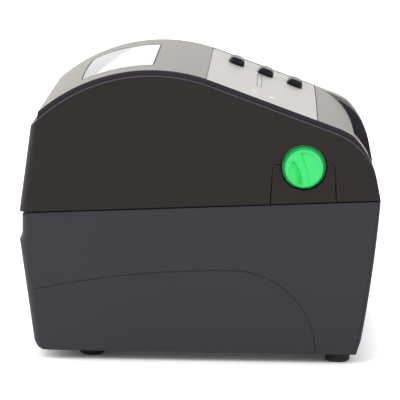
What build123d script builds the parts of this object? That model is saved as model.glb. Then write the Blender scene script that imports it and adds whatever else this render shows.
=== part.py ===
from build123d import *
from math import acos, asin, atan2, cos, degrees, hypot, pi, radians, sin, sqrt, tan
import os

os.makedirs("parts", exist_ok=True)

# Desktop label printer, in mm. X is depth with the front at +X, Y is width with the knob side at -Y,
# Z is up from the table. The origin is the middle of the footprint on the table.

# Casing
body_depth = 259.0
body_width = 224.0
seam_height = 113.45  # middle of the gap between lid and base, above the origin
seam_tilt = 2.75  # degrees, rising to the front
seam_gap = 1.1
wall = 2.8
tongue_thickness = 1.2  # of the base's tongue behind each side of the seam
tongue_rise = 1.5  # above the middle of the seam
tongue_foot = 5.0  # below it
tongue_gap = 0.6
tongue_inset = 20.0  # between its ends and the ends of the casing
tongue_front_inset = 4.0
lid_draft = 1.8  # degrees, each side wall of the lid leaning in towards the top
base_draft = 1.5  # degrees, each side wall of the base leaning in towards the floor
plan_corner = 8.0  # radius of the rear corners seen from above
front_corner = 3.0
foot_height = 7.0
fit_gap = 0.3  # between pieces that are laid into each other
seam_line = 0.5  # round the window and across the ends of the control plate, where it shows as a line

half_width = body_width / 2
half_depth = body_depth / 2

# Lid outline from the side. The dome runs from the rear corner to the top of the slope.
rear_corner_rise = 62.1  # above the seam
slope_top_x = half_depth - 122.4
slope_top_z = seam_height + 86.45
slope_angle = 19.8
front_radius = 46.0
front_lean = 11.5
rear_lean = 7.2

# Raised rim, silver cover and scoop
rim_half_width = half_width - 5.4
rim_height = 3.6
rim_wall = 0.8
rear_step = 4.0  # rim and cover stand this far in from the rear wall
cover_bed = 1.0  # underside of the silver cover above the cheek line
cover_edge = 2.7  # thickness of the cover at its long edges
crown = 0.8  # extra height of the cover in its middle
rail_end_rise = 22.5  # height above the front of the seam at which rim and cover run out
rail_ramp = 4.0  # degrees, the angle at which they run out
rail_end_radius = 60.0  # of the arc along which they run out
lip_width = 0.8  # dark lip along the inner side of each rail
lip_drop = 2.3  # top of the lip below the top of the cover
cheek_round = 1.0
scoop_back = 11.3  # along the slope, from its lower end back to the scoop
scoop_radius = 36.0
scoop_foot = seam_height + 7.55
recess_half_width = half_width - 25.0

# Window
window_front_x = -half_depth + 94.0
window_rear_x = -half_depth + 43.0
window_near_y = -half_width + 33.0
window_far_y = half_width - 50.0
window_bow = 1.5  # bulge of its rear edge
window_ledge = 2.4
window_rear_corner = 8.0
window_front_corner = 3.5
seal_drop = 0.15  # top of the seal below the top of the cover
seal_play = 0.03

# Control plate, buttons and light bar, placed along the slope from its tangent point
plate_start = -4.9
plate_margin = 4.6  # between the plate and the scoop
plate_thickness = 1.2
plate_drop = 0.5  # top of the plate below the top of the cover
button_length = 11.8
button_width = 24.5
button_first = 15.2
button_pitch = 23.7
button_y = half_width - 57.0
button_rise = 4.8
button_edge = 3.6  # rounding of the cap
button_flange = 1.5
button_travel = 1.0
button_gap = 0.35
bar_width = 3.2
bar_length = 81.3
bar_along = 34.6
bar_gap = 1.5  # between the light bar's end and the middle button
board_depth = 9.0
board_thickness = 1.6
switch_height = 4.0

# Knob and the insert below it
knob_x = half_depth - 55.3
knob_z = seam_height + 29.55
knob_radius = 15.7
knob_rise = 4.8
knob_depth = 4.5  # front of the knob's flange behind the outside of the casing
knob_flange = 1.5
knob_flank_radius = 15.1
knob_face_radius = 13.4
knob_gap = 1.0
blade_slope = 19.0  # degrees, floor of the hollow on the rear side of the grip
shelf_slope = 6.2  # degrees, floor of the shallow hollow on its front side
insert_top_length = 43.7
insert_foot_length = 46.4
insert_top_z = knob_z + 1.4
insert_gap = 0.7

# Hinge
hinge_x = -half_depth + 3.3
hinge_z = seam_height - 4.65
hinge_pin_radius = 1.5
hinge_barrel_radius = 3.0
hinge_y = half_width - 41.0
hinge_length = 34.0
hinge_knuckle = 9.0
leaf_thickness = 1.5
running_gap = 0.05
swing_gap = 0.5

# Base outline from the side
base_rear_top_x = -half_depth + 2.1
base_ledge_top_z = seam_height - 21.25
base_ledge_z = base_ledge_top_z - 5.0
base_rear_x = -half_depth + 0.2
base_rear_foot_x = -half_depth + 11.6
base_front_foot_x = half_depth - 13.3
base_bow = 1.3
rear_corner_along = 5.5
rear_corner_up = 5.5
rear_corner_bulge = 1.1
front_chamfer_along = 3.6
front_chamfer_up = 11.0
bezel_thickness = 2.1
bezel_gap = 0.2
groove_width = 0.9
groove_depth = 0.5
groove_x = half_depth - 105.0
groove_z = foot_height + 0.5
groove_radius = 60.0
groove_long_radius = 650.0

# Label path
roll_x = -half_depth + 79.5
roll_z = 86.0
roll_radius = 50.0
roll_half_width = 52.0
core_bore = 12.7
hub_radius = 12.2
hub_depth = 6.0
guide_thickness = 2.5
guide_gap = 0.5
tray_clearance = 2.5
tray_wall = 2.0
tray_half_width = 62.0
platen_x = half_depth - 28.5
platen_z = seam_height - 9.45
platen_radius = 8.0
platen_half_length = 58.0
shaft_radius = 3.0
bush_radius = 5.0
frame_thickness = 1.5
frame_y = 64.0  # inner face of each side frame
exit_floor = platen_z + 6.0

# Gears
gear_module = 0.8
ribbon_module = 1.0
pressure_angle = 25.0
backlash = 0.3
gear_face = 6.0
platen_teeth = 24
idler_teeth = 40
pinion_teeth = 12
idler_direction = 215.0
pinion_direction = 255.0
take_up_teeth = 36
ribbon_pinion_teeth = 12
ribbon_motor_direction = 150.0
rack_module = 1.0
rack_teeth = 14
gear_y = 67.0

# Ribbon carriers and print head
ribbon_plate_y = 60.5
ribbon_plate_rear = 36.0  # behind the supply spindle
ribbon_plate_front = 5.0  # in front of the platen
ribbon_plate_low = 13.0  # above the platen
ear_width = 20.0
supply_x = knob_x - 61.8
supply_z = knob_z + 8.5
supply_radius = 19.0
spool_radius = 8.5
take_up_spool_radius = 10.0
spindle_radius = 4.0
head_pivot_x = platen_x - 25.0
head_pivot_z = platen_z + 16.5
head_pivot_radius = 2.0

slope_rad = radians(slope_angle)


# Small geometry helpers

def seam_z(x, shift=0.0):
    """Height of the seam line at x, moved up by shift."""
    return seam_height + tan(radians(seam_tilt)) * x + shift


def meet(p, d, q, e):
    """Point where the line from p along d crosses the line from q along e."""
    cross = d[0] * e[1] - d[1] * e[0]
    t = ((q[0] - p[0]) * e[1] - (q[1] - p[1]) * e[0]) / cross
    return (p[0] + t * d[0], p[1] + t * d[1])


def moved(p, d, t):
    return (p[0] + t * d[0], p[1] + t * d[1])


def on_circle(center, radius, angle):
    """Point on a circle, with the angle in degrees from +X."""
    return (center[0] + radius * cos(radians(angle)), center[1] + radius * sin(radians(angle)))


def side_plane(y):
    """Plane of a side outline at this Y. Extruding from it goes towards -Y."""
    return Plane.XZ.offset(-y)


seam_dir = (cos(radians(seam_tilt)), sin(radians(seam_tilt)))
rear_dir = (sin(radians(rear_lean)), cos(radians(rear_lean)))
rear_out = (-rear_dir[1], rear_dir[0])
slope_dir = (cos(slope_rad), -sin(slope_rad))
slope_out = (sin(slope_rad), cos(slope_rad))
slope_in = (-slope_out[0], -slope_out[1])
front_dir = (sin(radians(front_lean)), -cos(radians(front_lean)))
front_in = (-cos(radians(front_lean)), -sin(radians(front_lean)))
lid_rear = (-half_depth, seam_z(-half_depth))
lid_front = (half_depth, seam_z(half_depth))
slope_start = (slope_top_x, slope_top_z)
slope_plane = Plane(
    origin=(slope_start[0], 0, slope_start[1]),
    x_dir=(slope_dir[0], 0, slope_dir[1]),
    z_dir=(slope_out[0], 0, slope_out[1]),
)
slope_axis = Axis((0, 0, 0), slope_plane.z_dir)
hinge = (hinge_x, hinge_z)
cover_top = cover_bed + cover_edge
plate_top = cover_top - plate_drop
crown_radius = (rim_half_width ** 2 + crown ** 2) / (2 * crown)
bar_y = button_y - button_width / 2 - bar_gap - bar_length / 2


def dome():
    """Centre and radius of the arc from the rear corner that runs smoothly into the slope."""
    rear_corner = moved(lid_rear, rear_dir, rear_corner_rise / rear_dir[1])
    dx = slope_start[0] - rear_corner[0]
    dz = slope_start[1] - rear_corner[1]
    radius = (dx * dx + dz * dz) / (2 * (dx * slope_out[0] + dz * slope_out[1]))
    return moved(slope_start, slope_in, radius), radius


hump, hump_radius = dome()


def hump_rear(grow, rear_grow):
    """Where the rear wall line meets the hump circle, each moved out by its own distance."""
    p = moved(lid_rear, rear_out, rear_grow)
    b = rear_dir[0] * (p[0] - hump[0]) + rear_dir[1] * (p[1] - hump[1])
    q = (p[0] - hump[0]) ** 2 + (p[1] - hump[1]) ** 2 - (hump_radius + grow) ** 2
    return moved(p, rear_dir, -b + sqrt(b * b - q))


def hump_middle(start, grow):
    """A point half way along the hump from start to the slope."""
    first = degrees(atan2(start[1] - hump[1], start[0] - hump[0]))
    return on_circle(hump, hump_radius + grow, (first + 90 - slope_angle) / 2)


def crown_height(y):
    """Rise of the crowned cover at this Y above its long edges."""
    return sqrt(crown_radius ** 2 - y ** 2) - crown_radius + crown


front_line = moved(lid_front, front_in, front_radius)
front_center = meet(moved(slope_start, slope_in, front_radius), slope_dir, front_line, front_dir)
front_middle_angle = (90 - slope_angle + front_lean) / 2
slope_end = moved(front_center, slope_out, front_radius)
slope_length = hypot(slope_end[0] - slope_start[0], slope_end[1] - slope_start[1])
scoop_start = slope_length - scoop_back
scoop_top = moved(slope_start, slope_dir, scoop_start)
scoop_center = moved(scoop_top, slope_in, scoop_radius)
plate_length = scoop_start - plate_margin - plate_start


def lid_side(grow=0.0, rear_grow=0.0, seam_shift=0.0):
    """Side outline of the lid, its top and front moved out by grow and its rear by rear_grow."""
    seam = (0, seam_z(0, seam_shift))
    rear_foot = meet(moved(lid_rear, rear_out, rear_grow), rear_dir, seam, seam_dir)
    rear_top = hump_rear(grow, rear_grow)
    slope_first = moved(slope_start, slope_out, grow)
    slope_last = moved(slope_end, slope_out, grow)
    front_top = moved(front_center, front_in, -front_radius - grow)
    front_foot = meet(front_top, front_dir, seam, seam_dir)
    front_middle = on_circle(front_center, front_radius + grow, front_middle_angle)
    with BuildSketch() as outline:
        with BuildLine():
            Line(rear_foot, rear_top)
            ThreePointArc(rear_top, hump_middle(rear_top, grow), slope_first)
            Line(slope_first, slope_last)
            ThreePointArc(slope_last, front_middle, front_top)
            Line(front_top, front_foot)
            Line(front_foot, rear_foot)
        make_face()
    return outline.sketch


def scoop_side(grow):
    """Side outline of everything in front of the scoop, which is moved out by grow."""
    first = moved(scoop_top, slope_out, grow)
    middle = on_circle(scoop_center, scoop_radius + grow, (90 - slope_angle) / 2)
    last = on_circle(scoop_center, scoop_radius + grow, 0)
    above = moved(first, slope_out, body_depth)
    with BuildSketch() as outline:
        with BuildLine():
            ThreePointArc(first, middle, last)
            Line(last, (last[0], 0))
            Line((last[0], 0), (body_depth, 0))
            Line((body_depth, 0), (body_depth, above[1]))
            Line((body_depth, above[1]), above)
            Line(above, first)
        make_face()
    return outline.sketch


def rail_end_side():
    """Side outline of what is cut off the front of rim and cover, outside the lid's own outline."""
    rise = lid_front[1] + rail_end_rise - front_center[1]
    angle = degrees(asin(rise / front_radius))
    end = on_circle(front_center, front_radius, angle)
    first = angle - rail_ramp
    center = on_circle(end, rail_end_radius, first + 180)
    middle = on_circle(center, rail_end_radius, (first + 90 - slope_angle) / 2)
    last = on_circle(center, rail_end_radius, 90 - slope_angle)
    above = moved(last, slope_out, front_radius)
    with BuildSketch() as outline:
        with BuildLine():
            ThreePointArc(end, middle, last)
            Polyline(last, above, (body_depth, above[1]), (body_depth, 0), (end[0], 0), end)
        make_face()
    return outline.sketch


def lid_section(inset):
    """Cross-section of the lid: side walls that lean in towards the top."""
    lean = tan(radians(lid_draft))
    low = seam_z(-half_depth) - 20
    top = hump[1] + hump_radius + 30
    half_low = half_width - inset - lean * (low - seam_height)
    half_top = half_width - inset - lean * (top - seam_height)
    with BuildSketch() as outline:
        with BuildLine():
            Polyline((-half_low, low), (half_low, low), (half_top, top), (-half_top, top), close=True)
        make_face()
    return outline.sketch


def base_section(inset):
    """Cross-section of the base: side walls that lean in towards the floor."""
    lean = tan(radians(base_draft))
    low = -foot_height
    top = seam_height + 40
    half_low = half_width - inset - lean * (seam_height - low)
    half_top = half_width - inset + lean * (top - seam_height)
    with BuildSketch() as outline:
        with BuildLine():
            Polyline((-half_low, low), (half_low, low), (half_top, top), (-half_top, top), close=True)
        make_face()
    return outline.sketch


def base_side(front_cut=0.0, top_rise=0.0):
    """Side outline of the base, with its front moved back and its top raised."""
    seam = (0, seam_z(0, -seam_gap / 2 + top_rise))
    rear_top = meet((base_rear_top_x, 0), (0, 1), seam, seam_dir)
    front_up = (half_depth - base_front_foot_x, seam_z(half_depth) - foot_height)
    chamfer_top = (0, foot_height + front_chamfer_up)
    front_foot = meet((base_front_foot_x - front_cut, foot_height), front_up, chamfer_top, (1, 0))
    front_top = meet(front_foot, front_up, seam, seam_dir)
    middle = ((front_foot[0] + front_top[0]) / 2 + base_bow, (front_foot[1] + front_top[1]) / 2)
    rear_up = (base_rear_x - base_rear_foot_x, base_ledge_z - foot_height)
    rear_foot = moved((base_rear_foot_x, foot_height), rear_up, rear_corner_up / rear_up[1])
    under = (base_rear_foot_x + rear_corner_along, foot_height)
    corner_middle = (
        (rear_foot[0] + under[0]) / 2 - rear_corner_bulge, (rear_foot[1] + under[1]) / 2 - rear_corner_bulge
    )
    with BuildSketch() as outline:
        with BuildLine():
            Line(rear_top, (base_rear_top_x, base_ledge_top_z))
            Line((base_rear_top_x, base_ledge_top_z), (base_rear_x, base_ledge_z))
            Line((base_rear_x, base_ledge_z), rear_foot)
            Line(rear_foot, corner_middle)
            Line(corner_middle, under)
            Line(under, (front_foot[0] - front_chamfer_along, foot_height))
            Line((front_foot[0] - front_chamfer_along, foot_height), front_foot)
            ThreePointArc(front_foot, middle, front_top)
            Line(front_top, rear_top)
        make_face()
    return outline.sketch


def corner_edges(part, x_low, x_high, shortest=4.0):
    """Upright edges where a side wall meets an end wall, within a range of X."""
    return [
        e for e in part.edges()
        if x_low < e.center().X < x_high
        and abs(e.center().Y) > half_width - 8
        and e.length > shortest
        and e.bounding_box().size.X < e.bounding_box().size.Z
        and e.bounding_box().size.Y < e.length / 2
    ]


def lid_form(inset, seam_shift):
    """Whole lid body, filled, with its walls moved in by inset."""
    with BuildPart() as form:
        prism(lid_side(-inset, -inset, seam_shift), -body_width, body_width)
        with BuildSketch(Plane.YZ):
            add(lid_section(inset))
        extrude(amount=body_depth, both=True, mode=Mode.INTERSECT)
        fillet(corner_edges(form.part, -body_depth, -half_depth + 20, 30), plan_corner - inset)
        if inset == 0:
            top_edges = [
                e for e in form.part.edges()
                if abs(e.center().Y) > half_width - 8 and e.center().Z > seam_height + 10
                and e.length > 20 and e.bounding_box().size.X > 2 * plan_corner
            ]
            fillet(top_edges, cheek_round)
    return form.part


def base_form(inset, front_cut, top_rise):
    """Whole base body, filled, with its walls moved in by inset."""
    with BuildPart() as form:
        with BuildSketch(Plane.XZ):
            add(base_side(front_cut, top_rise))
            if inset:
                offset(amount=-inset, kind=Kind.INTERSECTION)
        extrude(amount=body_width, both=True)
        with BuildSketch(Plane.YZ):
            add(base_section(inset))
        extrude(amount=body_depth, both=True, mode=Mode.INTERSECT)
        fillet(corner_edges(form.part, -body_depth, -half_depth + 20), plan_corner - inset)
        if front_cut == 0:
            fillet(corner_edges(form.part, half_depth - 20, body_depth, 30), front_corner)
    return form.part


def block(low, high, mode=Mode.ADD):
    """Box between two corners, in the part being built."""
    size = [b - a for a, b in zip(low, high)]
    with Locations(tuple((a + b) / 2 for a, b in zip(low, high))):
        Box(*size, mode=mode)


def rod(x, z, radius, y_low, y_high, mode=Mode.ADD):
    """Round bar along Y, in the part being built."""
    with BuildSketch(side_plane(y_high)) as disc:
        with Locations((x, z)):
            Circle(radius)
    extrude(disc.sketch, amount=y_high - y_low, mode=mode)


def prism(outline, y_low, y_high, mode=Mode.ADD):
    """Carry a side outline from one Y to another."""
    with BuildSketch(side_plane(y_high)) as placed:
        add(outline)
    extrude(placed.sketch, amount=y_high - y_low, mode=mode)


def polygon(*points):
    with BuildSketch() as outline:
        with BuildLine():
            Polyline(*points, close=True)
        make_face()
    return outline.sketch


def involute(angle):
    return tan(angle) - angle


def gear_side(center, teeth, module, phase):
    """Spur gear outline with a tooth centred on the direction phase, in degrees."""
    pitch = module * teeth / 2
    base = pitch * cos(radians(pressure_angle))
    radii = [pitch - 1.2 * module, pitch - 0.5 * module, pitch, pitch + 0.9 * module]
    halves = []
    for r in radii:
        tilt = acos(min(1.0, base / r))
        half = pi / (2 * teeth) + involute(radians(pressure_angle)) - involute(tilt)
        halves.append(degrees(half - backlash / (4 * pitch)))
    points = []
    for i in range(teeth):
        middle = phase + 360 * i / teeth
        points += [on_circle(center, r, middle - h) for r, h in zip(radii, halves)]
        points += [on_circle(center, r, middle + h) for r, h in reversed(list(zip(radii, halves)))]
    return polygon(*points)


def gear(x, z, teeth, module, phase, y_low, y_high, bore):
    """Gear along Y with a hub and a bore."""
    with BuildPart() as wheel:
        with BuildSketch(side_plane(y_high)):
            add(gear_side((x, z), teeth, module, phase))
            with Locations((x, z)):
                Circle(bore, mode=Mode.SUBTRACT)
        extrude(amount=y_high - y_low)
    return wheel


pieces = {}
seam_up = seam_gap / 2
floor_z = foot_height + wall
cover_half_width = rim_half_width - rim_wall


def lid_cavity(inset, seam_shift):
    """Space inside the lid, kept clear of the walls round the scoop."""
    with BuildPart() as space:
        add(lid_form(inset, seam_shift))
        half = recess_half_width + inset
        prism(scoop_side(cover_bed - inset), -half, half, Mode.SUBTRACT)
    return space.part


def insert(gap):
    """Outline of the slot below the knob, widened by gap."""
    foot = seam_z(knob_x) - 10
    lean = (insert_foot_length - insert_top_length) / 2 / (insert_top_z - seam_z(knob_x))
    half_top = insert_top_length / 2 + gap
    half_foot = half_top + lean * (insert_top_z - foot)
    return polygon(
        (knob_x - half_foot, foot), (knob_x + half_foot, foot),
        (knob_x + half_top, insert_top_z + gap), (knob_x - half_top, insert_top_z + gap),
    )


def window(gap):
    """Window outline seen from above, widened by gap."""
    near = window_near_y - gap
    far = window_far_y + gap
    front = window_front_x + gap
    rear = window_rear_x - gap
    with BuildSketch() as outline:
        with BuildLine():
            Polyline((rear, far), (front, far), (front, near), (rear, near))
            ThreePointArc((rear, near), (rear - window_bow, (near + far) / 2), (rear, far))
        make_face()
        fillet(outline.vertices().group_by(Axis.X)[-1], window_front_corner + gap)
        fillet(outline.vertices().group_by(Axis.X)[0], window_rear_corner + gap)
    return outline.sketch


def window_column(gap, mode):
    """Upright column through the window outline."""
    with BuildSketch(Plane.XY.offset(knob_z)) as column:
        add(window(gap))
    extrude(column.sketch, amount=body_depth, mode=mode)


def button_places():
    """Centres of the buttons along the slope and across it."""
    return [(button_first + i * button_pitch, button_y) for i in range(3)]


def control_openings(gap):
    """Cut the button holes and the light bar's slot through what is being built."""
    with BuildSketch(slope_plane.offset(-board_depth + 1)) as openings:
        with Locations(*button_places()):
            SlotOverall(button_width + 2 * gap, button_length + 2 * gap, rotation=90)
        with Locations((bar_along, bar_y)):
            SlotOverall(bar_length + 2 * gap, bar_width + 2 * gap, rotation=90)
    extrude(openings.sketch, amount=board_depth + 20, mode=Mode.SUBTRACT)


def crowned_section(low, high, half, low_crown):
    """Cross-section of a sheet of the cover, crowned above and crowned or flat below."""
    edge = crown_height(half)
    foot = edge if low_crown else 0
    with BuildSketch() as outline:
        with BuildLine():
            if low_crown:
                ThreePointArc((-half, low + foot), (0, low + crown), (half, low + foot))
            else:
                Line((-half, low), (half, low))
            Line((half, low + foot), (half, high + edge))
            ThreePointArc((half, high + edge), (0, high + crown), (-half, high + edge))
            Line((-half, high + edge), (-half, low + foot))
        make_face()
    return outline.sketch


def swept_section(route, low, high, half, low_crown=False):
    """Carry a crowned section along a route in the middle plane, inside a part."""
    with BuildSketch(Plane(origin=route @ 0, x_dir=(0, 1, 0), z_dir=route % 0)) as end:
        add(crowned_section(low, high, half, low_crown))
    sweep(end.sketch, path=route)


def crowned_sheet(low, high, half, low_crown=False):
    """Sheet over the whole lid, between two heights above the cheek line."""
    start = hump_rear(0, 8)
    front_top = moved(front_center, front_in, -front_radius)
    front_middle = on_circle(front_center, front_radius, front_middle_angle)
    with BuildPart() as sheet:
        with BuildLine(Plane.XZ) as route:
            ThreePointArc(start, hump_middle(start, 0), slope_start)
            Line(slope_start, slope_end)
            ThreePointArc(slope_end, front_middle, front_top)
        swept_section(route.wire(), low, high, half, low_crown)
    return sheet.part


def scoop_sheet(low, high, half):
    """Sheet that leaves the slope and dips down the scoop."""
    last = on_circle(scoop_center, scoop_radius, 0)
    with BuildPart() as sheet:
        with BuildLine(Plane.XZ) as route:
            ThreePointArc(scoop_top, on_circle(scoop_center, scoop_radius, (90 - slope_angle) / 2), last)
            Line(last, (last[0], scoop_foot))
        swept_section(route.wire(), low, high, half)
    return sheet.part


def plate_region(gap, mode):
    """Slab across the slope that the control plate fills."""
    with BuildSketch(slope_plane.offset(-board_depth)) as slab:
        with Locations((plate_start + plate_length / 2, 0)):
            Rectangle(plate_length + 2 * gap, body_width)
    extrude(slab.sketch, amount=board_depth + 20, mode=mode)


# Control board place along the slope and across it
board_low_y = bar_y - bar_length / 2 - 11.0
board_high_y = button_y + button_width / 2 + 11.5
board_start = 1.0
board_end = plate_start + plate_length - 4.0
post_inset = 4.0

# Lid shell: drafted cheeks, a raised rim with a bed for the cover, and a recess in front of the scoop
corner_reach = hypot(lid_rear[0] - hinge_x, lid_rear[1] + seam_up - hinge_z)
relief_radius = corner_reach + swing_gap


def bed():
    with BuildSketch() as outline:
        add(lid_side(rim_height + 5, -rear_step - rim_wall, seam_up - 5))
        add(lid_side(cover_bed, 5, seam_up - 10), mode=Mode.SUBTRACT)
    return outline.sketch


# Rim around the cover and the lips along the recess, run out at the front
with BuildPart() as rim:
    prism(lid_side(rim_height, -rear_step, seam_up), -rim_half_width, rim_half_width)
    prism(bed(), -cover_half_width, cover_half_width, Mode.SUBTRACT)
    prism(rail_end_side(), -body_width, body_width, Mode.SUBTRACT)

with BuildPart() as lips:
    lip_half = recess_half_width + lip_width
    prism(lid_side(cover_top - lip_drop, -rear_step, seam_up), -lip_half, lip_half)
    prism(scoop_side(cover_bed), -lip_half, lip_half, Mode.INTERSECT)
    prism(rail_end_side(), -body_width, body_width, Mode.SUBTRACT)

with BuildPart() as lid_shell:
    add(lid_form(0, seam_up))
    add(rim.part)
    add(lips.part)
    prism(scoop_side(cover_bed), -recess_half_width, recess_half_width, Mode.SUBTRACT)
    add(lid_cavity(wall, -20), mode=Mode.SUBTRACT)
    block(
        (scoop_center[0], -recess_half_width, 0), (half_depth, recess_half_width, scoop_foot), Mode.SUBTRACT
    )
    window_column(-window_ledge, Mode.SUBTRACT)
    control_openings(button_gap)
    prism(insert(insert_gap), -half_width - 5, -half_width + 8, Mode.SUBTRACT)
    rod(knob_x, knob_z, knob_radius + knob_gap, -half_width - 5, -half_width + 8, Mode.SUBTRACT)
    for side in (-1, 1):
        y = side * hinge_y
        reach = hinge_length / 2 + swing_gap
        rod(hinge_x, hinge_z, hinge_barrel_radius + swing_gap, y - reach, y + reach, Mode.SUBTRACT)
    with BuildSketch(slope_plane.offset(-board_depth)):
        for along in (board_start + post_inset, board_end - post_inset):
            with Locations((along, board_low_y + post_inset), (along, board_high_y - post_inset)):
                Circle(3)
    extrude(amount=board_depth - 1)
pieces["lid_shell"] = lid_shell

# Recess for the control plate, cut into the cover
with BuildPart() as inlay:
    add(crowned_sheet(plate_top - plate_thickness, cover_top + 3, half_width, True))
    plate_region(seam_line / 2, Mode.INTERSECT)

# Silver cover laid into the bed, with the rails down both cheeks and the scoop between them
with BuildPart() as silver_cover:
    add(crowned_sheet(cover_bed, cover_top, cover_half_width - fit_gap))
    prism(
        lid_side(rim_height + 8, -rear_step - rim_wall - fit_gap, seam_up),
        -half_width, half_width, Mode.INTERSECT,
    )
    rail_half = recess_half_width + lip_width + fit_gap
    prism(scoop_side(cover_bed - 20), -rail_half, rail_half, Mode.SUBTRACT)
    prism(rail_end_side(), -body_width, body_width, Mode.SUBTRACT)
    add(scoop_sheet(cover_bed, cover_top, recess_half_width))
    window_column(seam_line, Mode.SUBTRACT)
    add(inlay.part, mode=Mode.SUBTRACT)
    control_openings(button_gap)
pieces["silver_cover"] = silver_cover

# Window pane on the ledge of the lid shell
with BuildPart() as window_pane:
    add(crowned_sheet(cover_bed, cover_top, half_width))
    window_column(0, Mode.INTERSECT)
pieces["window_pane"] = window_pane

# Dark seal in the gap round the pane
with BuildPart() as window_seal:
    add(crowned_sheet(cover_bed, cover_top - seal_drop, half_width))
    window_column(seam_line - seal_play, Mode.INTERSECT)
    window_column(seal_play, Mode.SUBTRACT)
pieces["window_seal"] = window_seal

# Control plate laid into the cover, with the light bar's slot and the button holes
with BuildPart() as control_plate:
    add(crowned_sheet(plate_top - plate_thickness, plate_top, cover_half_width - fit_gap, True))
    plate_region(-seam_line / 2, Mode.INTERSECT)
    control_openings(button_gap)
pieces["control_plate"] = control_plate

with BuildPart() as light_bar:
    with BuildSketch(slope_plane.offset(-board_depth + 3)):
        with Locations((bar_along, bar_y)):
            SlotOverall(bar_length, bar_width, rotation=90)
    extrude(amount=board_depth - 3 + plate_top + crown_height(bar_y + bar_length / 4))
pieces["light_bar"] = light_bar

# Buttons: a cap that stands proud, a flange that stops it and a stem above its switch
button_top = cover_top + crown_height(button_y) + button_rise
flange_top = -wall - 0.2
for index, name in enumerate(("pause_button", "mode_button", "feed_button")):
    along, across = button_places()[index]
    with BuildPart() as button:
        with BuildSketch(slope_plane.offset(flange_top - 1)):
            with Locations((along, across)):
                SlotOverall(button_width, button_length, rotation=90)
        extrude(amount=button_top - flange_top + 1)
        fillet(button.faces().sort_by(slope_axis)[-1].edges(), button_edge)
        with BuildSketch(slope_plane.offset(flange_top - 1)):
            with Locations((along, across)):
                SlotOverall(button_width + 2 * button_flange, button_length + 2 * button_flange, rotation=90)
        extrude(amount=1)
        with BuildSketch(slope_plane.offset(flange_top - 1)):
            with Locations((along, across)):
                Circle(2)
        extrude(amount=-(board_depth - switch_height + flange_top - 1 - button_travel - fit_gap))
    pieces[name] = button

# Control board under the slope with a switch below each button
with BuildPart() as control_board:
    with BuildSketch(slope_plane.offset(-board_depth - board_thickness)):
        with Locations(((board_start + board_end) / 2, (board_low_y + board_high_y) / 2)):
            Rectangle(board_end - board_start, board_high_y - board_low_y)
    extrude(amount=board_thickness)
    with BuildSketch(slope_plane.offset(-board_depth)):
        with Locations(*button_places()):
            Rectangle(6, 6)
    extrude(amount=switch_height)
pieces["control_board"] = control_board

# Insert that fills the slot below the knob, with two arms to the near ribbon plate
insert_arm_z = (seam_height + 6.5, seam_height + 9.5)
insert_arm_width = 3.0
with BuildPart() as side_insert:
    prism(insert(0), -half_width - 5, -half_width + 8)
    add(lid_form(0, seam_up), mode=Mode.INTERSECT)
    add(lid_form(wall, -20), mode=Mode.SUBTRACT)
    rod(knob_x, knob_z, knob_radius + knob_gap, -half_width - 5, -half_width + 8, Mode.SUBTRACT)
    arm_end = -ribbon_plate_y - frame_thickness
    for x in (knob_x - knob_radius - 1, knob_x + knob_radius - 2):
        block((x, -half_width + 1, insert_arm_z[0]), (x + insert_arm_width, arm_end, insert_arm_z[1]))
pieces["side_insert"] = side_insert

# Ribbon plates that hang from the lid and carry the spindles and the print head
ribbon_motor_at = on_circle(
    (knob_x, knob_z), ribbon_module * (take_up_teeth + ribbon_pinion_teeth) / 2, ribbon_motor_direction
)


def ribbon_plate(y_low):
    """Steel plate with a rear and a front ear that reach the roof of the lid."""
    rear = supply_x - ribbon_plate_rear
    front = platen_x + ribbon_plate_front
    low = platen_z + ribbon_plate_low
    outline = polygon(
        (rear, body_depth), (rear, supply_z + 8), (rear + ear_width - 1, supply_z - 17), (knob_x - 15.8, low),
        (front, low + 1), (front, low + 21), (front - ear_width / 2 - 1, low + 33),
        (front - ear_width / 2 - 1, body_depth), (front - ear_width - 2, body_depth),
        (knob_x + 6.2, knob_z + 12.5), (rear + ear_width + 4, knob_z + 41.5), (rear + ear_width, body_depth),
    )
    y_high = y_low + frame_thickness
    with BuildPart() as plate:
        prism(outline, y_low, y_high)
        add(lid_cavity(wall, -20), mode=Mode.INTERSECT)
        rod(knob_x, knob_z, spindle_radius + running_gap, y_low, y_high, Mode.SUBTRACT)
        rod(supply_x, supply_z, spindle_radius + running_gap, y_low, y_high, Mode.SUBTRACT)
        rod(head_pivot_x, head_pivot_z, head_pivot_radius, y_low, y_high, Mode.SUBTRACT)
        if y_low < 0:
            rod(*ribbon_motor_at, 3, y_low, y_high, Mode.SUBTRACT)
    return plate


pieces["near_ribbon_plate"] = ribbon_plate(-ribbon_plate_y - frame_thickness)
pieces["far_ribbon_plate"] = ribbon_plate(ribbon_plate_y)

# Print head on its pivot shaft, below a pressure bar with two springs
head_top = platen_z + 18.0
bar_low = head_top + 10.0
head_spring_x = platen_x - 3.0
pressure_bar_width = 12.0
pressure_bar_height = 8.0
ribbon_plate_outer = ribbon_plate_y + frame_thickness
with BuildPart() as head_shaft:
    rod(head_pivot_x, head_pivot_z, head_pivot_radius, -ribbon_plate_outer, ribbon_plate_outer)
pieces["head_shaft"] = head_shaft

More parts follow.
